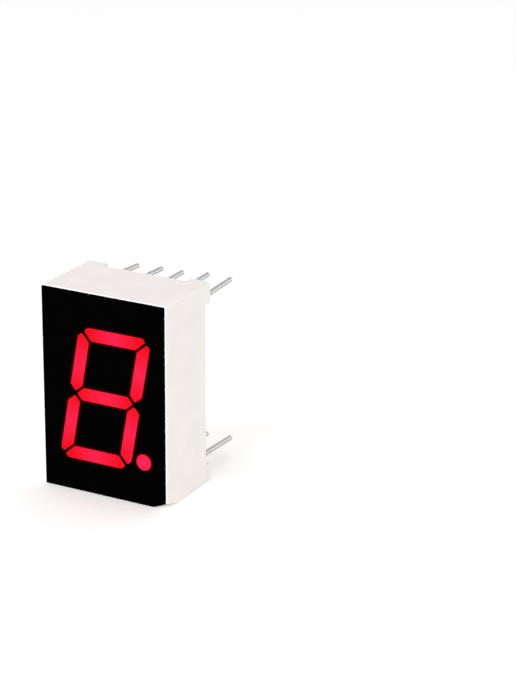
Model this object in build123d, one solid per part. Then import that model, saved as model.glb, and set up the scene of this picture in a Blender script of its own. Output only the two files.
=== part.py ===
from build123d import *
import os
from math import atan2, cos, degrees, hypot, radians, sqrt, tan

os.makedirs("parts", exist_ok=True)

# A single-digit seven segment display with its decimal point. Lengths are in millimetres.
# The origin is the centre of the pin pattern on the plane of the four standing feet.
# +Y is the way the pins point, -Y the way the digit faces, and +Z is up.

# Pins: two rows of round tinned wire, upset to a slight taper where they wedge in the circuit board
pin_pitch = 2.54
pins_per_row = 5
pin_diameter = 0.5
pin_root_diameter = 0.56
pin_length = 5.95
pin_straight = 1.5
pin_stub = 0.35
pin_tip_radius = 0.16
# How far each tip leans from its true place in X and Z, from handling
pin_lean = {
    1: (0.04, -0.03),
    2: (-0.05, 0.02),
    3: (0.03, 0.04),
    4: (0.06, -0.22),
    5: (0.02, -0.11),
    6: (0.01, 0.24),
    7: (0.20, 0.32),
    8: (0.02, 0.06),
    9: (0.36, 0.06),
    10: (0.35, -0.06),
}

# Digit: seven bars that lean to the right, and a round point
digit_height = 12.7
digit_width = 7.36
digit_slant = 10.4
# How far the digit stands right of the face's middle, and below it
digit_shift = 0.13
digit_drop = 0.08
segment_width = 1.2
segment_gap = 0.28
segment_tip = 0.33
segment_corner = 0.15
point_diameter = 1.5
point_gap = 0.5
point_rise = 1.06

# Housing: a moulded shell, open at the back, with a light funnel behind each bar
row_to_digit = 1.27
row_to_edge = 1.905
row_end_to_side = 1.27
body_depth = 7.1
wall = 0.55
face_plate = 0.8
body_corner = 0.12
cavity_corner = 0.4
front_bevel = 0.07
funnel_wall = 0.45
funnel_foot_length = 2.4
funnel_foot_width = 1.05
funnel_foot_corner = 0.12
point_foot_diameter = 1.3
solder_pocket_clearance = 0.1

# Orientation cut on the lower right front corner: its three legs along X, Y and Z
cut_leg_x = 1.4
cut_leg_y = 2.0
cut_leg_z = 0.58

# Feet: the rim's corners carried back to the seating plane
foot_depth = 0.9
foot_width = 1.98
top_foot_height = 1.93
bottom_foot_height = 1.63
foot_edge = 0.1
# The upper right foot is rounded on its outer corner
marked_foot_corner = 0.4

# Black print on the flat of the face, inside its bevel
print_thickness = 0.1
print_corner = 0.09

# Circuit board, its copper and the resin behind it
board_thickness = 1.0
board_clearance = 0.1
copper_thickness = 0.05
track_width = 0.25
# The middle bar's track drops below its chip and runs this far inside the outer pin
track_drop = 0.95
track_inset = 0.5
pin_pad_diameter = 1.1
chip_pad_diameter = 0.4
via_diameter = 0.25
pin_hole_clearance = 0.15
solder_height = 0.28
potting_cover = 0.7
potting_recess = 0.2

# Chips and bond wires
chip_width = 0.25
chip_height = 0.2
chip_to_wire_pad = 0.56
wire_diameter = 0.04
wire_loop = 0.2

# Places that follow from the sizes above
row_length = (pins_per_row - 1) * pin_pitch
row_spacing = digit_height + 2 * row_to_digit
body_width = row_length + 2 * row_end_to_side
body_height = row_spacing + 2 * row_to_edge
rim_y = -foot_depth
face_y = rim_y - body_depth
plate_front_y = face_y + print_thickness
plate_back_y = plate_front_y + face_plate
potting_y = rim_y - potting_recess
board_back_y = potting_y - potting_cover
board_front_y = board_back_y - board_thickness
copper_front_y = board_front_y - copper_thickness
copper_back_y = board_back_y + copper_thickness
cavity_width = body_width - 2 * wall
cavity_height = body_height - 2 * wall
board_width = cavity_width - 2 * board_clearance
board_height = cavity_height - 2 * board_clearance
board_corner = cavity_corner - board_clearance
pin_radius = pin_diameter / 2
pin_hole_radius = pin_root_diameter / 2 + pin_hole_clearance

# The digit before it leans: half sizes to the middle of its bars
lean = tan(radians(digit_slant))
bar_half = segment_width / 2
side_half = bar_half / cos(radians(digit_slant))
reach_x = digit_width / 2 - side_half
reach_z = digit_height / 2 - bar_half
mitre = segment_gap / sqrt(2)
point_z = point_rise - digit_height / 2
point_x = reach_x + side_half + point_gap + point_diameter / 2


def at_depth(y):
    """Drawing plane at depth y: its own x is X, its own y is Z, and it faces the viewer."""
    return Plane(origin=(0, y, 0), x_dir=(1, 0, 0), z_dir=(0, -1, 0))


def slab(sketch, front_y, back_y):
    """A drawing given depth between two planes."""
    return extrude(at_depth(back_y) * sketch, amount=back_y - front_y)


def leaned(point):
    """A point of the upright digit, moved to its place in the slanted one."""
    x, z = point
    return (x + z * lean + digit_shift, z - digit_drop)


def end_bar(side):
    """Corners of the top (side 1) or bottom (side -1) bar: mitred ends with blunt outer tips."""
    right = [
        (reach_x - bar_half - mitre, reach_z - bar_half),
        (reach_x - (mitre - segment_tip) / 2, reach_z + (mitre + segment_tip) / 2),
        (reach_x - bar_half + segment_tip, reach_z + bar_half),
    ]
    left = [(-x, z) for x, z in reversed(right)]
    return [(x, side * z) for x, z in right + left]


def middle_bar():
    """Corners of the middle bar, pointed at both ends."""
    right = [
        (reach_x - mitre - bar_half, -bar_half),
        (reach_x - mitre, 0),
        (reach_x - mitre - bar_half, bar_half),
    ]
    return right + [(-x, -z) for x, z in right]


def side_bar(side, half):
    """Corners of an upright bar: side is 1 at the right, half is 1 in the upper half."""
    corners = [
        (reach_x, mitre),
        (reach_x - side_half, mitre + side_half),
        (reach_x - side_half, reach_z - mitre - side_half),
        (reach_x + (mitre + segment_tip) / 2, reach_z - (mitre - segment_tip) / 2),
        (reach_x + side_half, reach_z - side_half + segment_tip),
        (reach_x + side_half, mitre + side_half),
    ]
    return [(side * x, half * z) for x, z in corners]


# Each bar's name, corners, centre before it leans, and whether it stands upright
bars = {
    "a": (end_bar(1), (0, reach_z), False),
    "b": (side_bar(1, 1), (reach_x, reach_z / 2), True),
    "c": (side_bar(1, -1), (reach_x, -reach_z / 2), True),
    "d": (end_bar(-1), (0, -reach_z), False),
    "e": (side_bar(-1, -1), (-reach_x, -reach_z / 2), True),
    "f": (side_bar(-1, 1), (-reach_x, reach_z / 2), True),
    "g": (middle_bar(), (0, 0), False),
}
# What each pin serves, counted along the bottom row and back along the top row
pin_duty = ("e", "d", "common", "c", "point", "b", "a", "common", "f", "g")


def bar_outline(corners, corner_radius):
    """Closed drawing of one slanted bar with softened corners."""
    shape = Polygon(*[leaned(p) for p in corners], align=None)
    return fillet(shape.vertices(), corner_radius)


def foot_corners(corners, centre, upright):
    """The bar's corners drawn in to the small window at the circuit board."""
    along = funnel_foot_length / (reach_z if upright else 2 * reach_x)
    across = funnel_foot_width / segment_width
    scale_x, scale_z = (across, along) if upright else (along, across)
    cx, cz = centre
    return [(cx + (x - cx) * scale_x, cz + (z - cz) * scale_z) for x, z in corners]


def funnel(name, margin=0.0, front_y=face_y, back_y=board_front_y):
    """Light path of one bar or of the point, widened all round by margin."""
    if name == "point":
        place = Pos(*light_centre("point"))
        front = place * Circle(point_diameter / 2 + margin)
        back = place * Circle(point_foot_diameter / 2 + margin)
    else:
        corners, centre, upright = bars[name]
        front = bar_outline(corners, segment_corner)
        back = bar_outline(foot_corners(corners, centre, upright), funnel_foot_corner)
        if margin:
            front = offset(front, amount=margin)
            back = offset(back, amount=margin)
    return loft([at_depth(back_y) * back, at_depth(front_y) * front], ruled=True)


def light_centre(name):
    """Where a bar's light sits on the board, in X and Z."""
    centre = (point_x, point_z) if name == "point" else bars[name][1]
    return leaned(centre)


lights = [*bars, "point"]


def pin_place(number):
    """X and Z of a pin, counted along the bottom row and back along the top row."""
    if number <= pins_per_row:
        return ((number - 1) * pin_pitch - row_length / 2, -row_spacing / 2)
    return (row_length / 2 - (number - pins_per_row - 1) * pin_pitch, row_spacing / 2)


pin_numbers = range(1, 2 * pins_per_row + 1)


def pin(number):
    """Round wire pin: a tapered root up to the seating plane, a straight shank, then the bent free end."""
    x, z = pin_place(number)
    lean_x, lean_z = pin_lean[number]
    stub_y = copper_front_y - pin_stub
    profile = Polyline(
        (0, stub_y),
        (pin_root_diameter / 2, stub_y),
        (pin_radius, 0),
        (pin_radius, pin_straight),
        (0, pin_straight),
        close=True,
    )
    shank = Pos(x, 0, z) * revolve(make_face(profile), Axis.Y)
    section = Pos(x, z) * Circle(pin_radius)
    free = pin_length - pin_straight
    way = Vector(lean_x, free, lean_z)
    end = extrude(at_depth(pin_straight) * section, amount=way.length, dir=way)
    end = fillet(end.edges().sort_by(Axis.Y)[-1], pin_tip_radius)
    return shank + end


def solder_joint(number):
    """Tin that fills the hole round a pin, with a cone on each copper pad."""
    x, z = pin_place(number)
    pad = pin_pad_diameter / 2
    profile = Polyline(
        (0, copper_front_y - solder_height),
        (pin_radius, copper_front_y - solder_height),
        (pad, copper_front_y),
        (pin_hole_radius, copper_front_y),
        (pin_hole_radius, copper_back_y),
        (pad, copper_back_y),
        (pin_radius, copper_back_y + solder_height),
        (0, copper_back_y + solder_height),
        close=True,
    )
    return Pos(x, 0, z) * revolve(make_face(profile), Axis.Y) - pin(number)


def chip_place(name):
    """X and Z of a light's chip."""
    x, z = light_centre(name)
    return (x - chip_to_wire_pad / 2, z)


def wire_pad_place(name):
    """X and Z of the copper pad that a light's bond wire lands on."""
    x, z = light_centre(name)
    return (x + chip_to_wire_pad / 2, z)


def chip(name):
    """Square light emitting chip on its copper pad."""
    x, z = chip_place(name)
    square = Pos(x, z) * Rectangle(chip_width, chip_width)
    return slab(square, copper_front_y - chip_height, copper_front_y)


def bond_wire(name):
    """Fine wire that loops from the top of a chip down to its pad."""
    start_x, z = chip_place(name)
    end_x = wire_pad_place(name)[0]
    top_y = copper_front_y - chip_height
    middle_x = (start_x + end_x) / 2
    path = ThreePointArc((start_x, top_y, z), (middle_x, top_y - wire_loop, z), (end_x, copper_front_y, z))
    section = Plane(origin=path @ 0, z_dir=path % 0) * Circle(wire_diameter / 2)
    landing = slab(Pos(end_x, z) * Circle(chip_pad_diameter / 2), copper_front_y, board_front_y)
    return sweep(section, path=path) - chip(name) - landing


def track(start, end):
    """Straight track with round ends between two points of a copper layer."""
    (x0, z0), (x1, z1) = start, end
    turn = degrees(atan2(z1 - z0, x1 - x0))
    leg = SlotCenterToCenter(hypot(x1 - x0, z1 - z0), track_width, rotation=turn)
    return Pos((x0 + x1) / 2, (z0 + z1) / 2) * leg


def pin_pad(number):
    """Copper disc of one pin, with the hole left for the pin and its solder."""
    return Pos(*pin_place(number)) * Circle(pin_pad_diameter / 2)


def chip_pads():
    """Round landing pads of every chip and bond wire, as thin copper."""
    pads = Sketch()
    for name in lights:
        pads += Pos(*chip_place(name)) * Circle(chip_pad_diameter / 2)
        pads += Pos(*wire_pad_place(name)) * Circle(chip_pad_diameter / 2)
    return slab(pads, copper_front_y, board_front_y)


def wire_route(name):
    """Points of the front track from a bond wire's pad to its pin."""
    start, end = wire_pad_place(name), pin_place(pin_duty.index(name) + 1)
    if name != "g":
        return [start, end]
    # The middle bar's track drops clear of its own chip, then runs out past the left bars
    edge = end[0] + track_inset
    return [start, (start[0], -track_drop), (edge, -track_drop), end]


def pin_holes(radius):
    """Discs at every pin."""
    holes = Sketch()
    for number in pin_numbers:
        holes += Pos(*pin_place(number)) * Circle(radius)
    return holes


def front_copper():
    """Front layer: pads for chips, wires and pins, and one track for each light."""
    drawing = Sketch()
    for name in lights:
        points = wire_route(name)
        for start, end in zip(points, points[1:]):
            drawing += track(start, end)
    for number in pin_numbers:
        drawing += pin_pad(number)
    layer = slab(drawing - pin_holes(pin_hole_radius), copper_front_y, board_front_y)
    return layer + chip_pads()


def back_copper():
    """Back layer: the common rail with a branch and a via to each chip, and the pin pads."""
    low, high = [pin_place(number) for number in pin_numbers if pin_duty[number - 1] == "common"]
    drawing = track(low, high)
    vias = Sketch()
    for name in lights:
        x, z = chip_place(name)
        drawing += track((low[0], z), (x, z))
        vias += Pos(x, z) * Circle(via_diameter / 2)
    for number in pin_numbers:
        drawing += pin_pad(number)
    layer = slab(drawing - pin_holes(pin_hole_radius), board_back_y, copper_back_y)
    return layer + slab(vias, board_front_y, board_back_y)


def board_outline():
    """Edge of the circuit board, which follows the housing's walls at its clearance."""
    return RectangleRounded(board_width, board_height, board_corner)


def circuit_board():
    """Glass fibre board with holes for the pins and the vias."""
    drawing = board_outline() - pin_holes(pin_hole_radius)
    for name in lights:
        drawing -= Pos(*chip_place(name)) * Circle(via_diameter / 2)
    return slab(drawing, board_front_y, board_back_y)


def cavity_outline():
    """Inside of the housing's walls."""
    return RectangleRounded(cavity_width, cavity_height, cavity_corner)


def trimmed(solid):
    """The solid without the orientation cut at the lower right front corner."""
    right, low = body_width / 2, -body_height / 2
    on_x = Vector(right - cut_leg_x, plate_front_y, low)
    on_y = Vector(right, plate_front_y + cut_leg_y, low)
    on_z = Vector(right, plate_front_y, low + cut_leg_z)
    inward = (on_z - on_x).cross(on_y - on_x)
    return split(solid, bisect_by=Plane(origin=on_x, z_dir=inward), keep=Keep.TOP)


def feet():
    """The four corner feet, cut from the wall's own section."""
    blocks = Sketch()
    for side in (-1, 1):
        for level, height in ((-1, bottom_foot_height), (1, top_foot_height)):
            centre = (side * (body_width - foot_width) / 2, level * (body_height - height) / 2)
            blocks += Pos(*centre) * Rectangle(foot_width, height)
    outline = Rectangle(body_width, body_height)
    others = sorted(outline.vertices(), key=lambda corner: corner.X + corner.Y)[:3]
    outline = fillet(others, body_corner)
    marked = max(outline.vertices(), key=lambda corner: corner.X + corner.Y)
    outline = fillet(marked, marked_foot_corner)
    carried = slab((outline - cavity_outline()) & blocks, rim_y, 0)
    backs = carried.faces().filter_by_position(Axis.Y, 0, 0)
    return fillet(backs.edges(), foot_edge)


def housing(light_paths):
    """Moulded shell: plate, walls, feet, and the funnel walls with their light paths cut through."""
    block = slab(RectangleRounded(body_width, body_height, body_corner), plate_front_y, rim_y)
    block = chamfer(block.faces().sort_by(Axis.Y)[0].edges(), front_bevel)
    shell = block - slab(cavity_outline(), plate_back_y, rim_y)
    for name in lights:
        shell += funnel(name, funnel_wall, plate_front_y + front_bevel, copper_front_y)
    pocket_radius = pin_pad_diameter / 2 + solder_pocket_clearance
    pocket_front = copper_front_y - pin_stub - solder_pocket_clearance
    shell -= slab(pin_holes(pocket_radius), pocket_front, copper_front_y)
    shell += feet()
    return trimmed(shell - light_paths)


def face_print(light_paths):
    """Black layer on the face, open over each bar and the point."""
    sheet = RectangleRounded(body_width - 2 * front_bevel, body_height - 2 * front_bevel, print_corner)
    return trimmed(slab(sheet, face_y, plate_front_y) - light_paths)


def potting(pins, joints, copper):
    """Cast resin that seals the back: round the board's edge and over its back."""
    block = slab(cavity_outline(), board_front_y, potting_y)
    block -= slab(board_outline(), board_front_y, board_back_y)
    return block - pins - joints - copper


light_paths = {name: funnel(name) for name in lights}
pins = {number: pin(number) for number in pin_numbers}
joints = {number: solder_joint(number) for number in pin_numbers}
copper_layers = {"front_copper": front_copper(), "back_copper": back_copper()}

export_step(housing(list(light_paths.values())), "parts/housing.step")
export_step(face_print(list(light_paths.values())), "parts/face_print.step")
sealed = potting(list(pins.values()), list(joints.values()), copper_layers["back_copper"])
export_step(sealed, "parts/potting.step")
export_step(circuit_board(), "parts/circuit_board.step")
for layer, copper in copper_layers.items():
    export_step(copper, f"parts/{layer}.step")

for light, path in light_paths.items():
    label = "decimal_point" if light == "point" else f"segment_{light}"
    light_chip = chip(light)
    wire = bond_wire(light)
    resin = path - light_chip - wire - copper_layers["front_copper"]
    export_step(resin, f"parts/{label}.step")
    export_step(light_chip, f"parts/led_chip_{light}.step")
    export_step(wire, f"parts/bond_wire_{light}.step")

for number in pin_numbers:
    export_step(pins[number], f"parts/pin_{number}.step")
    export_step(joints[number], f"parts/solder_joint_{number}.step")
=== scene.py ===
import bmesh
import bpy
from math import cos, exp, hypot, pi, radians, sin
from mathutils import Euler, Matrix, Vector, noise


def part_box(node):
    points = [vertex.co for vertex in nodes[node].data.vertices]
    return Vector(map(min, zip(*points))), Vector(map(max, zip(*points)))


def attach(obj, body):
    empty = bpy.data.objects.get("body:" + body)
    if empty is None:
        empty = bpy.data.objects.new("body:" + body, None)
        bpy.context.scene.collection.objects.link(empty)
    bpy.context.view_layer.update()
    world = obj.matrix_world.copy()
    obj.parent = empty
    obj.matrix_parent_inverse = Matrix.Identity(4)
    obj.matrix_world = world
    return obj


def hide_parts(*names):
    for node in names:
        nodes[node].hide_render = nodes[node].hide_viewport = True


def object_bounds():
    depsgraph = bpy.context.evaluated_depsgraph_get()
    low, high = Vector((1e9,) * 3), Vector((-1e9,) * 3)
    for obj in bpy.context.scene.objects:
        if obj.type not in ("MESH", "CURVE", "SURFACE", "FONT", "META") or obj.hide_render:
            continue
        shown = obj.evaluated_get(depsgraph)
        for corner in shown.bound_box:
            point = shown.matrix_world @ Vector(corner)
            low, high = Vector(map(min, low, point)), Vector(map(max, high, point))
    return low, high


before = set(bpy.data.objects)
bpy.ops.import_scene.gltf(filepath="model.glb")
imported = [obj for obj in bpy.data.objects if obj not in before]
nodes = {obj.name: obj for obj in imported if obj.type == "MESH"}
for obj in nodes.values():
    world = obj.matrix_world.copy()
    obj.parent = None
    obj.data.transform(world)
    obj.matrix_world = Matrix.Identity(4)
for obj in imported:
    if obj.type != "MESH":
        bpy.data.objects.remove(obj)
cad_low, cad_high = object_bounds()

# A single-digit seven segment display, standing on its lower side. Sizes are in millimetres
# until a mesh takes them, and the frame is in metres.
MM = 0.001


# Housing
# One injection moulded shell of glass-filled, off-white plastic: face plate, walls and four feet.
# It is moulded in one shot and carries everything else. Its edges are barely broken by the mould.
HOUSING_EDGE = 0.045
EDGE_ANGLE = 30
SHELL_WELD = 0.001
# A sharp edge past these is on the outside of the shell, or on its rim and feet
OUTSIDE_X = 6.05
OUTSIDE_Z = 9.25
RIM_DEPTH = -0.95
# The plastic is warmer towards the rim and cooler in the feet, and the bevel round the face carries a
# near-white painted highlight
WARM_FROM = -2.6
WARM_TO = -0.9
WARM_SHARE = 0.7
FOOT_DEPTH = -0.8
BEVEL_FROM = -7.82
BEVEL_TO = -7.74
CLOUD_SIZE = 3.0
CLOUD_SPAN = (0.35, 0.65)
GRAIN_SIZE = 0.09
GRAIN_DEPTH = 0.003
PLASTIC_PALE = (0.88, 0.835, 0.825)
PLASTIC_DEEP = (0.855, 0.81, 0.80)
PLASTIC_WARM = (0.88, 0.83, 0.79)
PLASTIC_COOL = (0.84, 0.835, 0.82)
# A painted highlight: near white, laid on the bevel round the face
PAINTED_BEVEL_HIGHLIGHT = (0.985, 0.975, 0.965)
PLASTIC_ROUGHNESS = (0.42, 0.55)
PLASTIC_SCATTER = (1.0, 0.95, 0.9)
SCATTER_DEPTH = 0.2


class Tone:
    """A socket of a material: sums on it add Math nodes, and node() adds any other node."""

    def __init__(self, tree, socket=None):
        self.tree = tree
        self.socket = socket

    def node(self, kind, settings, inputs, output=0):
        made = self.tree.nodes.new(kind)
        for name, value in settings.items():
            setattr(made, name, value)
        for name, value in inputs.items():
            if isinstance(value, Tone):
                self.tree.links.new(value.socket, made.inputs[name])
            else:
                made.inputs[name].default_value = value
        return Tone(self.tree, made.outputs[output])

    def maths(self, operation, *values):
        return self.node("ShaderNodeMath", {"operation": operation}, dict(enumerate(values)))

    def vector(self, operation, inputs, output="Vector"):
        return self.node("ShaderNodeVectorMath", {"operation": operation}, inputs, output)

    def __add__(self, other):
        return self.maths("ADD", self, other)

    def __sub__(self, other):
        return self.maths("SUBTRACT", self, other)

    def __mul__(self, other):
        return self.maths("MULTIPLY", self, other)

    def __truediv__(self, other):
        return self.maths("DIVIDE", self, other)

    def __rsub__(self, other):
        return self.maths("SUBTRACT", other, self)

    __radd__ = __add__
    __rmul__ = __mul__


def finish_of(name):
    """A new material, its shader node, a Tone for the rest of its nodes, and Object coordinates."""
    material = bpy.data.materials.new(name)
    material.use_nodes = True
    tree = material.node_tree
    tone = Tone(tree)
    place = tone.node("ShaderNodeTexCoord", {}, {}, "Object")
    return material, tree.nodes["Principled BSDF"], tone, place


def feed(shader, **sockets):
    """Sets a shader's sockets, each from a Tone or from a plain value."""
    for name, value in sockets.items():
        socket = shader.inputs[name.replace("_", " ")]
        if isinstance(value, Tone):
            value.tree.links.new(value.socket, socket)
        else:
            socket.default_value = value


def speckle(tone, place, size, detail=2.0, stretch=None):
    """Soft noise from 0 to 1 whose blotches are about size millimetres across."""
    if stretch:
        place = tone.node("ShaderNodeMapping", {}, {"Vector": place, "Scale": stretch})
    inputs = {"Vector": place, "Scale": 1 / (size * MM), "Detail": detail}
    return tone.node("ShaderNodeTexNoise", {"noise_dimensions": "3D"}, inputs)


def mixed(tone, share, low, high):
    """A colour between low and high by share, where either may be a Tone."""
    low, high = [end if isinstance(end, Tone) else (*end, 1.0) for end in (low, high)]
    # A Mix node's colours are its sockets 6 and 7, and their mix is its output 2
    return tone.node("ShaderNodeMix", {"data_type": "RGBA"}, {0: share, 6: low, 7: high}, 2)


def ramp(tone, value, start, stop, low=0.0, high=1.0):
    """Value carried from the range start..stop to low..high, and held at its ends."""
    inputs = {"Value": value, 1: start, 2: stop, 3: low, 4: high}
    return tone.node("ShaderNodeMapRange", {"clamp": True}, inputs)


def spread(tone, blotches, low=0.0, high=1.0):
    """Noise, which seldom leaves 0.3 to 0.7, carried to the whole of low..high."""
    return ramp(tone, blotches, 0.3, 0.7, low, high)


def relief(tone, height, depth):
    """A Bump node whose full height is depth millimetres."""
    return tone.node("ShaderNodeBump", {}, {"Height": height, "Distance": depth * MM, "Strength": 1.0})


def axis_of(tone, place, axis):
    """One coordinate of a place, as a plain number."""
    return tone.node("ShaderNodeSeparateXYZ", {}, {"Vector": place}, axis)


def new_piece(name, shape, material, sharp_angle=35):
    """A piece from a finished bmesh, smooth except at edges sharper than sharp_angle degrees."""
    mesh = bpy.data.meshes.new(name)
    shape.to_mesh(mesh)
    shape.free()
    mesh.shade_smooth()
    mesh.set_sharp_from_angle(angle=radians(sharp_angle))
    mesh.materials.append(material)
    piece = bpy.data.objects.new(name, mesh)
    bpy.context.collection.objects.link(piece)
    return piece


plastic, shader, tone, place = finish_of("moulded_plastic")
cloud = speckle(tone, place, CLOUD_SIZE, detail=3.0)
grain = speckle(tone, place, GRAIN_SIZE)
depth = axis_of(tone, place, "Y")
rimward = ramp(tone, depth, WARM_FROM * MM, WARM_TO * MM)
footward = ramp(tone, depth, RIM_DEPTH * MM, FOOT_DEPTH * MM)
# The front of the shell round the face is painted near white, a painted highlight along its bevel
bevel_highlight = ramp(tone, depth, BEVEL_FROM * MM, BEVEL_TO * MM, 1.0, 0.0)
body_colour = mixed(tone, ramp(tone, cloud, *CLOUD_SPAN), PLASTIC_DEEP, PLASTIC_PALE)
side_colour = mixed(tone, rimward * WARM_SHARE, body_colour, PLASTIC_WARM)
side_colour = mixed(tone, footward, side_colour, PLASTIC_COOL)
feed(
    shader,
    Base_Color=mixed(tone, bevel_highlight, side_colour, PAINTED_BEVEL_HIGHLIGHT),
    Roughness=spread(tone, grain, *PLASTIC_ROUGHNESS),
    Normal=relief(tone, grain, GRAIN_DEPTH),
    Specular_IOR_Level=0.4,
    Subsurface_Weight=0.1,
    Subsurface_Radius=PLASTIC_SCATTER,
    Subsurface_Scale=SCATTER_DEPTH * MM,
)

shell = bmesh.new()
shell.from_mesh(nodes["housing"].data)
bmesh.ops.remove_doubles(shell, verts=shell.verts, dist=SHELL_WELD * MM)
bmesh.ops.dissolve_limit(shell, angle_limit=radians(1), verts=shell.verts, edges=shell.edges)


def outer_edge(edge):
    """Whether an edge lies on the outside of the shell or on its rim and feet, and is sharp."""
    middle = (edge.verts[0].co + edge.verts[1].co) / 2
    outside = abs(middle.x) > OUTSIDE_X * MM or abs(middle.z) > OUTSIDE_Z * MM
    outside = outside or middle.y > RIM_DEPTH * MM
    return outside and len(edge.link_faces) == 2 and edge.calc_face_angle() > radians(EDGE_ANGLE)


bmesh.ops.bevel(
    shell,
    geom=[edge for edge in shell.edges if outer_edge(edge)],
    offset=HOUSING_EDGE * MM,
    segments=2,
    profile=0.5,
    affect="EDGES",
    material=-1,
    clamp_overlap=True,
)
housing = new_piece("moulded_housing", shell, plastic)
flats = housing.modifiers.new("flats", "WEIGHTED_NORMAL")
flats.keep_sharp = True
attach(housing, "root")
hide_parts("housing")


# Face print
# Two passes of matt black ink, screen printed on the face plate round the light windows.
# It hides the plate, so that only the windows shine, and a red glow from the bars is painted into the ink
# round each window.
FACE_DEPTH = -8.0
INK = (0.0003, 0.0003, 0.0003)
INK_WORN = (0.0008, 0.0007, 0.0008)
INK_ROUGHNESS = (0.5, 0.68)
INK_PATCH = 1.6
INK_PATCH_SPAN = (0.4, 0.8)
SCREEN_GRAIN = 0.12
SCREEN_DEPTH = 0.0015
# A painted glow: red emission in the ink that fades with distance from each bar, standing in for the bars'
# light
PAINTED_GLOW_RED = (0.11, 0.0, 0.0008)
PAINTED_GLOW_REACH = 0.062
BAR_HALF = 0.6
POINT_HALF = 0.75
# Nicks in the outline of the print, where the ink has come off the edge
NICK_SIZE = 0.16
NICK_DEPTH = 0.9
NICK_RARITY = 0.62
NICK_BLUR = 0.01
NICK_GREY = (0.42, 0.40, 0.39)
# The two ends of each bar's middle line, drawn in from its tips, and the point's centre twice
BAR_LINES = {
    "segment_a": ((-0.84, 5.67), (3.21, 5.67)),
    "segment_b": ((3.39, 0.97), (4.06, 4.62)),
    "segment_c": ((2.34, -4.78), (3.01, -1.13)),
    "segment_d": ((-2.95, -5.83), (1.10, -5.83)),
    "segment_e": ((-3.80, -4.78), (-3.13, -1.13)),
    "segment_f": ((-2.75, 0.97), (-2.08, 4.62)),
    "segment_g": ((-1.89, -0.08), (2.15, -0.08)),
    "decimal_point": ((4.09, -5.37), (4.09, -5.37)),
}


def dress(names, material):
    """Gives CAD nodes that keep their own shape a material."""
    for name in names:
        nodes[name].data.materials[0] = material


def off_line(tone, place, start, end):
    """Distance in metres from a place to a bar's middle line on the face."""
    start, end = [Vector((x, FACE_DEPTH, z)) * MM for x, z in (start, end)]
    along = end - start
    nearest = start
    if along.length > 0:
        offset = tone.vector("SUBTRACT", {0: place, 1: start})
        share = tone.vector("DOT_PRODUCT", {0: offset, 1: along / along.length_squared}, "Value")
        share = tone.node("ShaderNodeClamp", {}, {"Value": share})
        step = tone.vector("SCALE", {0: along, "Scale": share})
        nearest = tone.vector("ADD", {0: step, 1: start})
    return tone.vector("DISTANCE", {0: place, 1: nearest}, "Value")


ink, shader, tone, place = finish_of("black_print")
# The ink is painted to glow red near each bar, as painted light from the bars
painted_glow = 0.0
for name, (start, end) in BAR_LINES.items():
    edge = (POINT_HALF if name == "decimal_point" else BAR_HALF) * MM
    inward = edge - off_line(tone, place, start, end)
    painted_glow = painted_glow + tone.maths("EXPONENT", inward / (PAINTED_GLOW_REACH * MM))
print_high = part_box("face_print")[1]
inset_x = print_high.x - tone.maths("ABSOLUTE", axis_of(tone, place, "X"))
inset_z = print_high.z - tone.maths("ABSOLUTE", axis_of(tone, place, "Z"))
nick = (speckle(tone, place, NICK_SIZE) - NICK_RARITY) * (NICK_DEPTH * MM)
nicked = ramp(tone, nick - tone.maths("MINIMUM", inset_x, inset_z), -NICK_BLUR * MM, NICK_BLUR * MM)
worn = ramp(tone, speckle(tone, place, INK_PATCH), *INK_PATCH_SPAN)
screen = speckle(tone, place, SCREEN_GRAIN)
feed(
    shader,
    Base_Color=mixed(tone, nicked, mixed(tone, worn, INK, INK_WORN), NICK_GREY),
    Emission_Color=mixed(tone, tone.maths("MINIMUM", painted_glow, 1.0), (0.0, 0.0, 0.0), PAINTED_GLOW_RED),
    Emission_Strength=1.0,
    Roughness=spread(tone, screen, *INK_ROUGHNESS),
    Normal=relief(tone, screen, SCREEN_DEPTH),
    Specular_IOR_Level=0.004,
)
dress(["face_print"], ink)


# Lit bars and point
# Clear red-tinted epoxy with a diffusing powder, cast into each funnel on the chips. It stands flush
# with the print, and shines pinkish over its chip and purer red towards the ends of the bar.
GLOW_CORE = (0.95, 0.0145, 0.069)
GLOW_END = (0.90, 0.0008, 0.006)
GLOW_FROM = 0.2
GLOW_REACH = 2.65
GLOW_RIPPLE = 0.5
POINT_CORE = (0.95, 0.0165, 0.122)
POINT_GLOW_FROM = 0.1
RESIN_RED = (0.035, 0.0006, 0.0012)
RESIN_POWDERY = (0.045, 0.001, 0.002)
RESIN_ROUGHNESS = (0.5, 0.6)
POWDER_SIZE = 0.25
POWDER_DEPTH = 0.002

lit_resin, shader, tone, place = finish_of("lit_resin")
nearest = None
for (x0, z0), (x1, z1) in BAR_LINES.values():
    centre = ((x0 + x1) / 2 * MM, FACE_DEPTH * MM, (z0 + z1) / 2 * MM)
    away = tone.vector("DISTANCE", {0: place, 1: centre}, "Value")
    nearest = away if nearest is None else tone.maths("MINIMUM", nearest, away)
powder = speckle(tone, place, POWDER_SIZE, detail=3.0)
rippled = nearest + (powder - 0.5) * (GLOW_RIPPLE * MM)
bar_glow = mixed(tone, ramp(tone, rippled, GLOW_FROM * MM, GLOW_REACH * MM), GLOW_CORE, GLOW_END)
off_point = off_line(tone, place, *BAR_LINES["decimal_point"])
point_share = ramp(tone, off_point, POINT_GLOW_FROM * MM, POINT_HALF * MM, 1.0, 0.0)
feed(
    shader,
    Base_Color=mixed(tone, powder, RESIN_RED, RESIN_POWDERY),
    Emission_Color=mixed(tone, point_share, bar_glow, POINT_CORE),
    Emission_Strength=1.0,
    Roughness=spread(tone, powder, *RESIN_ROUGHNESS),
    Normal=relief(tone, powder, POWDER_DEPTH),
    Specular_IOR_Level=0.03,
)
dress(BAR_LINES, lit_resin)


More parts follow.
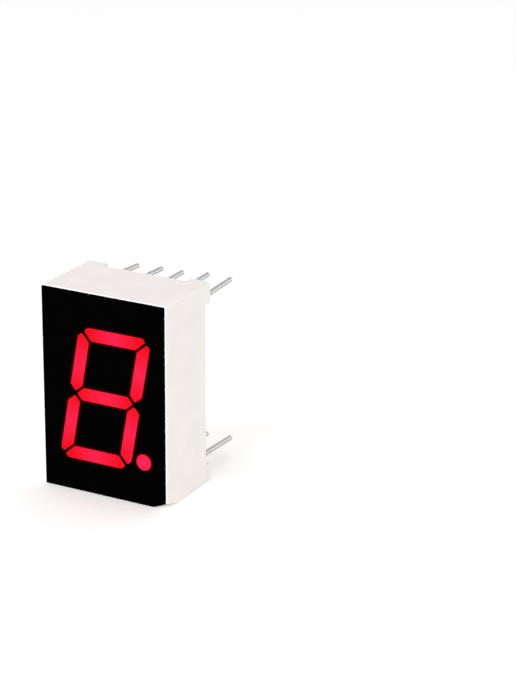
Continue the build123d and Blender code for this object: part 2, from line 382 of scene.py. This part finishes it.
# Chips and bond wires
# Eight square red-emitting chips, sawn from a wafer of crystal and glued to their pads with silver
# epoxy. A drawn gold wire is welded to the top of each and to its own pad.
LIGHTS = ["a", "b", "c", "d", "e", "f", "g", "point"]
CRYSTAL_DARK = (0.25, 0.12, 0.05)
CRYSTAL_PALE = (0.4, 0.2, 0.08)
CRYSTAL_ROUGHNESS = (0.2, 0.4)
SAW_GRAIN = 0.06
SAW_DEPTH = 0.001
GOLD_DEEP = (0.8, 0.5, 0.15)
GOLD_PALE = (0.95, 0.66, 0.26)
GOLD_ROUGHNESS = (0.18, 0.3)
GOLD_GRAIN = 0.03

crystal, shader, tone, place = finish_of("chip_crystal")
sawn = speckle(tone, place, SAW_GRAIN)
feed(
    shader,
    Base_Color=mixed(tone, sawn, CRYSTAL_DARK, CRYSTAL_PALE),
    Roughness=spread(tone, sawn, *CRYSTAL_ROUGHNESS),
    Normal=relief(tone, sawn, SAW_DEPTH),
)
dress([f"led_chip_{light}" for light in LIGHTS], crystal)

gold, shader, tone, place = finish_of("bond_gold")
drawn = speckle(tone, place, GOLD_GRAIN, detail=1.0)
feed(
    shader,
    Base_Color=mixed(tone, drawn, GOLD_DEEP, GOLD_PALE),
    Roughness=spread(tone, drawn, *GOLD_ROUGHNESS),
    Metallic=1.0,
)
dress([f"bond_wire_{light}" for light in LIGHTS], gold)


# Circuit board and copper
# A glass-fibre board drilled for the pins, with etched copper on both sides. It lies in the shell on
# the backs of the funnels, and the potting resin holds it there.
WEAVE_PITCH = 0.5
WEAVE_DEPTH = 0.004
LAMINATE_DARK = (0.42, 0.36, 0.16)
LAMINATE_PALE = (0.55, 0.48, 0.24)
LAMINATE_ROUGHNESS = (0.4, 0.55)
ETCH_GRAIN = 0.2
COPPER_DEEP = (0.62, 0.26, 0.13)
COPPER_PALE = (0.8, 0.4, 0.24)
COPPER_ROUGHNESS = (0.25, 0.45)

laminate, shader, tone, place = finish_of("glass_laminate")
warp = tone.maths("SINE", axis_of(tone, place, "X") * (2 * pi / (WEAVE_PITCH * MM)))
weft = tone.maths("SINE", axis_of(tone, place, "Z") * (2 * pi / (WEAVE_PITCH * MM)))
weave = warp * weft * 0.5 + 0.5
feed(
    shader,
    Base_Color=mixed(tone, weave, LAMINATE_DARK, LAMINATE_PALE),
    Roughness=ramp(tone, weave, 0.0, 1.0, *LAMINATE_ROUGHNESS),
    Normal=relief(tone, weave, WEAVE_DEPTH),
)
dress(["circuit_board"], laminate)

copper, shader, tone, place = finish_of("etched_copper")
etched = speckle(tone, place, ETCH_GRAIN, detail=3.0)
feed(
    shader,
    Base_Color=mixed(tone, etched, COPPER_DEEP, COPPER_PALE),
    Roughness=spread(tone, etched, *COPPER_ROUGHNESS),
    Metallic=1.0,
)
dress(["front_copper", "back_copper"], copper)


# Pins
# Ten round steel wires with a tin coat, pressed through the board and soldered. Their free ends were
# cropped and tumbled, so the tips are round, and handling has bent some of them a little.
PINS_PER_ROW = 5
PIN_COUNT = 2 * PINS_PER_ROW
MIDDLE_COLUMN = 2
PIN_PITCH = 2.54
ROW_HALF = 7.62
PIN_RADIUS = 0.25
PIN_ROOT_RADIUS = 0.28
PIN_STUB = -3.2
PIN_STRAIGHT = 1.5
PIN_TIP = 0.16
PIN_SIDES = 32
TIP_RINGS = 5
TIP_BAND = 0.02
# The wire turns into its lean over this length on each side of the bend
BEND_REACH = 0.8
BEND_RINGS = 6
# The tin's colours and its drawn grain, then the solder's
TIN_DARK = (0.415, 0.408, 0.40)
TIN_PALE = (0.47, 0.463, 0.455)
TIN_ROUGHNESS = (0.10, 0.15)
TIN_PATCH = 0.8
DRAWN_GRAIN = 0.12
DRAWN_STRETCH = (1.0, 0.12, 1.0)
DRAWN_DEPTH = 0.0008
SOLDER_DARK = (0.55, 0.55, 0.54)
SOLDER_PALE = (0.72, 0.72, 0.71)
SOLDER_ROUGHNESS = (0.22, 0.42)
FROST_SIZE = 0.2
FROST_DEPTH = 0.004

tin, shader, tone, place = finish_of("tinned_wire")
drawn = speckle(tone, place, DRAWN_GRAIN, detail=3.0, stretch=DRAWN_STRETCH)
patches = speckle(tone, place, TIN_PATCH, detail=3.0)
feed(
    shader,
    Base_Color=mixed(tone, spread(tone, patches), TIN_DARK, TIN_PALE),
    Roughness=spread(tone, drawn, *TIN_ROUGHNESS),
    Normal=relief(tone, drawn, DRAWN_DEPTH),
    Metallic=1.0,
)


def ring_to(shape, edges, centre, radius):
    """Extrudes a ring of edges to a new centre along the pin and gives it a new radius."""
    made = bmesh.ops.extrude_edge_only(shape, edges=edges)["geom"]
    verts = [item for item in made if isinstance(item, bmesh.types.BMVert)]
    middle = sum((vert.co for vert in verts), Vector()) / len(verts)
    for vert in verts:
        out = vert.co - middle
        vert.co = centre + out.normalized() * radius
    return [item for item in made if isinstance(item, bmesh.types.BMEdge)]


def middle_of(points):
    """The middle of the box round some points."""
    low = Vector([min(point[axis] for point in points) for axis in range(3)])
    high = Vector([max(point[axis] for point in points) for axis in range(3)])
    return (low + high) / 2


for number in range(1, PIN_COUNT + 1):
    name = f"pin_{number}"
    column = number - 1 if number <= PINS_PER_ROW else PIN_COUNT - number
    side = -1 if number <= PINS_PER_ROW else 1
    root = Vector(((column - MIDDLE_COLUMN) * PIN_PITCH, 0, side * ROW_HALF)) * MM
    corners = [vert.co for vert in nodes[name].data.vertices]
    reach = max(corner.y for corner in corners)
    tip = middle_of([corner for corner in corners if corner.y > reach - TIP_BAND * MM])
    bend = root + Vector((0, PIN_STRAIGHT * MM, 0))
    way = tip - bend
    length = way.length
    way.normalize()

    wire = bmesh.new()
    turn = Euler((radians(90), 0, 0)).to_matrix().to_4x4()
    girth = PIN_ROOT_RADIUS * MM
    bmesh.ops.create_circle(wire, cap_ends=False, segments=PIN_SIDES, radius=girth, matrix=turn)
    bmesh.ops.translate(wire, verts=wire.verts, vec=root + Vector((0, PIN_STUB * MM, 0)))
    ring = wire.edges[:]
    bmesh.ops.contextual_create(wire, geom=ring)
    stations = [(root, PIN_RADIUS)]
    before = bend - Vector((0, BEND_REACH * MM, 0))
    after = bend + way * (BEND_REACH * MM)
    for step in range(BEND_RINGS + 1):
        share = step / BEND_RINGS
        turning = before.lerp(bend, share).lerp(bend.lerp(after, share), share)
        stations.append((turning, PIN_RADIUS))
    stations.append((bend + way * (length - PIN_TIP * MM), PIN_RADIUS))
    for step in range(1, TIP_RINGS + 1):
        angle = step / TIP_RINGS * pi / 2
        along = length - PIN_TIP * MM * (1 - sin(angle))
        stations.append((bend + way * along, PIN_RADIUS - PIN_TIP * (1 - cos(angle))))
    for centre, radius in stations:
        ring = ring_to(wire, ring, centre, radius * MM)
    bmesh.ops.contextual_create(wire, geom=ring)
    bmesh.ops.recalc_face_normals(wire, faces=wire.faces)
    piece = new_piece(f"wire_{name}", wire, tin, sharp_angle=50)
    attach(piece, "root")
    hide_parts(name)

solder, shader, tone, place = finish_of("solder")
frost = speckle(tone, place, FROST_SIZE, detail=3.0)
feed(
    shader,
    Base_Color=mixed(tone, frost, SOLDER_DARK, SOLDER_PALE),
    Roughness=spread(tone, frost, *SOLDER_ROUGHNESS),
    Normal=relief(tone, frost, FROST_DEPTH),
    Metallic=1.0,
)
dress([f"solder_joint_{number}" for number in range(1, PIN_COUNT + 1)], solder)


# Potting resin
# Milky two-part epoxy, poured over the back of the board with the shell face down, and cured.
# It creeps a little way up the walls and the pins before it sets.
POTTING_CORNER = 0.4
POTTING_CELL = 0.15
POTTING_WAVE = 0.025
WAVE_LENGTH = 2.4
WALL_CREEP = 0.13
WALL_CREEP_REACH = 0.22
PIN_CREEP = 0.16
PIN_CREEP_REACH = 0.13
PIN_CREEP_EDGE = 0.75
BOARD_GAP = 0.1
BOARD_THICKNESS = 1.0
POUR_WELD = 0.0005
MILK_SIZE = 2.2
FILL_SIZE = 0.35
FILL_SHARE = 0.3
FILL_RELIEF = 0.2
MILKY_DEEP = (0.76, 0.725, 0.63)
MILKY_PALE = (0.83, 0.80, 0.73)
POTTING_ROUGHNESS = (0.14, 0.24)
POTTING_RELIEF = 0.02
POTTING_SCATTER = (1.0, 0.8, 0.5)
POTTING_SCATTER_DEPTH = 0.5
# Bubbles that burst as the resin set: their spacing, and their radius as a share of it. Their pits are
# dented and also painted darker, as painted shade
BUBBLE_SPACING = 0.7
BUBBLE_RADIUS = 0.07
BUBBLE_RIM = 0.1
# How far the pits are painted towards the painted shade colour
BUBBLE_SHADE = 0.6
BUBBLE_PIT_SHADE = (0.62, 0.59, 0.51)

resin, shader, tone, place = finish_of("potting_resin")
milk = speckle(tone, place, MILK_SIZE, detail=3.0)
fill = speckle(tone, place, FILL_SIZE, detail=4.0)
milky = mixed(tone, spread(tone, milk + (fill - 0.5) * FILL_SHARE), MILKY_DEEP, MILKY_PALE)
inputs = {"Vector": place, "Scale": 1 / (BUBBLE_SPACING * MM)}
to_bubble = tone.node("ShaderNodeTexVoronoi", {}, inputs, "Distance")
bubble = ramp(tone, to_bubble, BUBBLE_RADIUS, BUBBLE_RIM, 1.0, 0.0)
feed(
    shader,
    # Burst bubbles' pits are painted darker, a painted shade in the hollows
    Base_Color=mixed(tone, bubble * BUBBLE_SHADE, milky, BUBBLE_PIT_SHADE),
    Roughness=spread(tone, fill, *POTTING_ROUGHNESS),
    Normal=relief(tone, fill * FILL_RELIEF - bubble, POTTING_RELIEF),
    Specular_IOR_Level=0.5,
    Subsurface_Weight=0.2,
    Subsurface_Radius=POTTING_SCATTER,
    Subsurface_Scale=POTTING_SCATTER_DEPTH * MM,
)

potting_low, potting_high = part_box("potting")
half_width = potting_high.x
half_height = potting_high.z
cells = [round(2 * half / (POTTING_CELL * MM)) for half in (half_width, half_height)]
pour = bmesh.new()
bmesh.ops.create_grid(pour, x_segments=cells[0], y_segments=cells[1], size=1)
bmesh.ops.scale(pour, verts=pour.verts, vec=(half_width, half_height, 1))
bmesh.ops.rotate(pour, verts=pour.verts, matrix=Euler((radians(-90), 0, 0)).to_matrix())
bmesh.ops.translate(pour, verts=pour.verts, vec=(0, potting_high.y, 0))


def nearest_pin(spot):
    """Distance from a spot on the resin to the middle of the nearest pin."""
    column = max(-MIDDLE_COLUMN, min(MIDDLE_COLUMN, round(spot.x / (PIN_PITCH * MM))))
    return hypot(spot.x - column * PIN_PITCH * MM, abs(spot.z) - ROW_HALF * MM)


near = [edge for edge in pour.edges if nearest_pin(edge.verts[0].co) < PIN_CREEP_EDGE * MM]
bmesh.ops.subdivide_edges(pour, edges=near, cuts=2, use_grid_fill=True)
corner = POTTING_CORNER * MM
for vert in pour.verts:
    x, z = vert.co.x, vert.co.z
    over = Vector((abs(x) - half_width + corner, 0, abs(z) - half_height + corner))
    to_wall = min(half_width - abs(x), half_height - abs(z))
    if over.x > 0 and over.z > 0:
        to_wall = corner - min(over.length, corner)
        pulled = over * min(1.0, corner / over.length)
        vert.co.x = (half_width - corner + pulled.x) * (1 if x > 0 else -1)
        vert.co.z = (half_height - corner + pulled.z) * (1 if z > 0 else -1)
    wave = noise.noise(vert.co / (WAVE_LENGTH * MM)) * POTTING_WAVE
    at_wall = exp(-to_wall / (WALL_CREEP_REACH * MM)) * WALL_CREEP
    from_pin = max(0.0, nearest_pin(vert.co) - PIN_RADIUS * MM)
    at_pin = exp(-from_pin / (PIN_CREEP_REACH * MM)) * PIN_CREEP
    vert.co.y += (wave - POTTING_WAVE + at_wall + at_pin) * MM
# The rim goes down the wall beside the board, in to the board's edge, and up it to the board's back
rim = [edge for edge in pour.edges if edge.is_boundary]
steps = [
    (potting_low.y, 1.0, 1.0),
    (potting_low.y, 1 - BOARD_GAP * MM / half_width, 1 - BOARD_GAP * MM / half_height),
    (potting_low.y + BOARD_THICKNESS * MM, 1.0, 1.0),
]
for depth, across, up in steps:
    made = bmesh.ops.extrude_edge_only(pour, edges=rim)["geom"]
    for vert in [item for item in made if isinstance(item, bmesh.types.BMVert)]:
        vert.co = (vert.co.x * across, depth, vert.co.z * up)
    rim = [item for item in made if isinstance(item, bmesh.types.BMEdge)]
bmesh.ops.contextual_create(pour, geom=rim)
bmesh.ops.remove_doubles(pour, verts=pour.verts, dist=POUR_WELD * MM)
bmesh.ops.recalc_face_normals(pour, faces=pour.faces)
potting = new_piece("potting_pour", pour, resin, sharp_angle=50)
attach(potting, "root")
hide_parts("potting")


# Studio
# A plain pale paper floor, soft boxes and a camera, none of which is part of the display.
# The display stands on the floor on its lower side. Lamps and camera are placed in metres.
FLOOR_SIZE = 6.0
FLOOR_WHITE = (0.93, 0.93, 0.93)
FLOOR_PALE = (0.94, 0.94, 0.94)
FLOOR_PATCH = 400.0
FLOOR_LIFT = 0.18
SKY_STRENGTH = 0.66
WHITE = (1, 1, 1, 1)
CAMERA_PLACE = (0.10612, -0.17573, 0.07724)
CAMERA_TURN = (69.9925, -0.3476, 28.5131)
CAMERA_LENS = 125.83
CAMERA_SENSOR = 36.0


def seen_share(tone):
    """1 for the rays that show a background: to the camera, in reflections and through glass."""
    kinds = ("Is Camera Ray", "Is Glossy Ray", "Is Transmission Ray")
    camera, glossy, clear = [tone.node("ShaderNodeLightPath", {}, {}, kind) for kind in kinds]
    return tone.maths("MINIMUM", camera + glossy + clear, 1.0)


sheet = bmesh.new()
bmesh.ops.create_grid(sheet, x_segments=1, y_segments=1, size=FLOOR_SIZE / 2)
bmesh.ops.translate(sheet, verts=sheet.verts, vec=(0, 0, cad_low.z))
paper, shader, tone, place = finish_of("studio_paper")
feed(
    shader,
    Base_Color=mixed(tone, speckle(tone, place, FLOOR_PATCH), FLOOR_WHITE, FLOOR_PALE),
    Roughness=1.0,
    Specular_IOR_Level=0.0,
)
lit = Tone(tone.tree, shader.outputs[0])
lift = tone.node("ShaderNodeEmission", {}, {"Color": WHITE, "Strength": FLOOR_LIFT})
lifted = tone.node("ShaderNodeAddShader", {}, {0: lit, 1: lift})
surface = tone.node("ShaderNodeMixShader", {}, {0: seen_share(tone), 1: lit, 2: lifted})
tone.tree.links.new(surface.socket, tone.tree.nodes["Material Output"].inputs["Surface"])
floor = new_piece("studio_floor", sheet, paper)

world = bpy.data.worlds.new("studio_world")
bpy.context.scene.world = world
world.use_nodes = True
sky = Tone(world.node_tree)
around = world.node_tree.nodes["Background"]
around.inputs["Color"].default_value = WHITE
around.inputs["Strength"].default_value = SKY_STRENGTH
grey = Tone(world.node_tree, around.outputs[0])
white = sky.node("ShaderNodeBackground", {}, {"Color": WHITE, "Strength": 1.0})
backdrop = sky.node("ShaderNodeMixShader", {}, {0: seen_share(sky), 1: grey, 2: white})
world.node_tree.links.new(backdrop.socket, world.node_tree.nodes["World Output"].inputs["Surface"])


def soft_lamp(name, place, width, height, power, colour):
    """A soft box aimed at the middle of the display, out of the camera's sight."""
    light = bpy.data.lights.new(name, "AREA")
    light.shape = "RECTANGLE"
    light.size = width
    light.size_y = height
    light.energy = power
    light.color = colour
    lamp = bpy.data.objects.new(name, light)
    lamp.location = place
    lamp.rotation_euler = (-Vector(place)).to_track_quat("-Z", "Y").to_euler()
    lamp.visible_camera = False
    bpy.context.collection.objects.link(lamp)
    return lamp


soft_lamp("lamp_top", (0.08, -0.08, 0.5), width=0.45, height=0.45, power=0.64, colour=(1.0, 0.94, 0.965))
soft_lamp("lamp_right", (0.45, -0.18, 0.05), width=0.4, height=0.3, power=0.57, colour=(0.98, 1.0, 0.86))
front = soft_lamp("lamp_front", (-0.12, -0.5, 0.1), width=0.4, height=0.3, power=1.6, colour=(1.0, 1.0, 1.0))
# Its glare would bleach the top of the shell where it is seen from behind
front.visible_glossy = False
soft_lamp("lamp_strip", (0.28, 0.41, 0.075), width=0.3, height=0.06, power=0.16, colour=(1.0, 1.0, 1.0))

view = bpy.data.cameras.new("camera")
view.lens = CAMERA_LENS
view.sensor_width = CAMERA_SENSOR
view.clip_start = 0.01
view.clip_end = 20.0
camera = bpy.data.objects.new("camera", view)
camera.location = CAMERA_PLACE
camera.rotation_euler = [radians(turn) for turn in CAMERA_TURN]
bpy.context.collection.objects.link(camera)
bpy.context.scene.camera = camera
bpy.context.scene.view_settings.view_transform = "Standard"
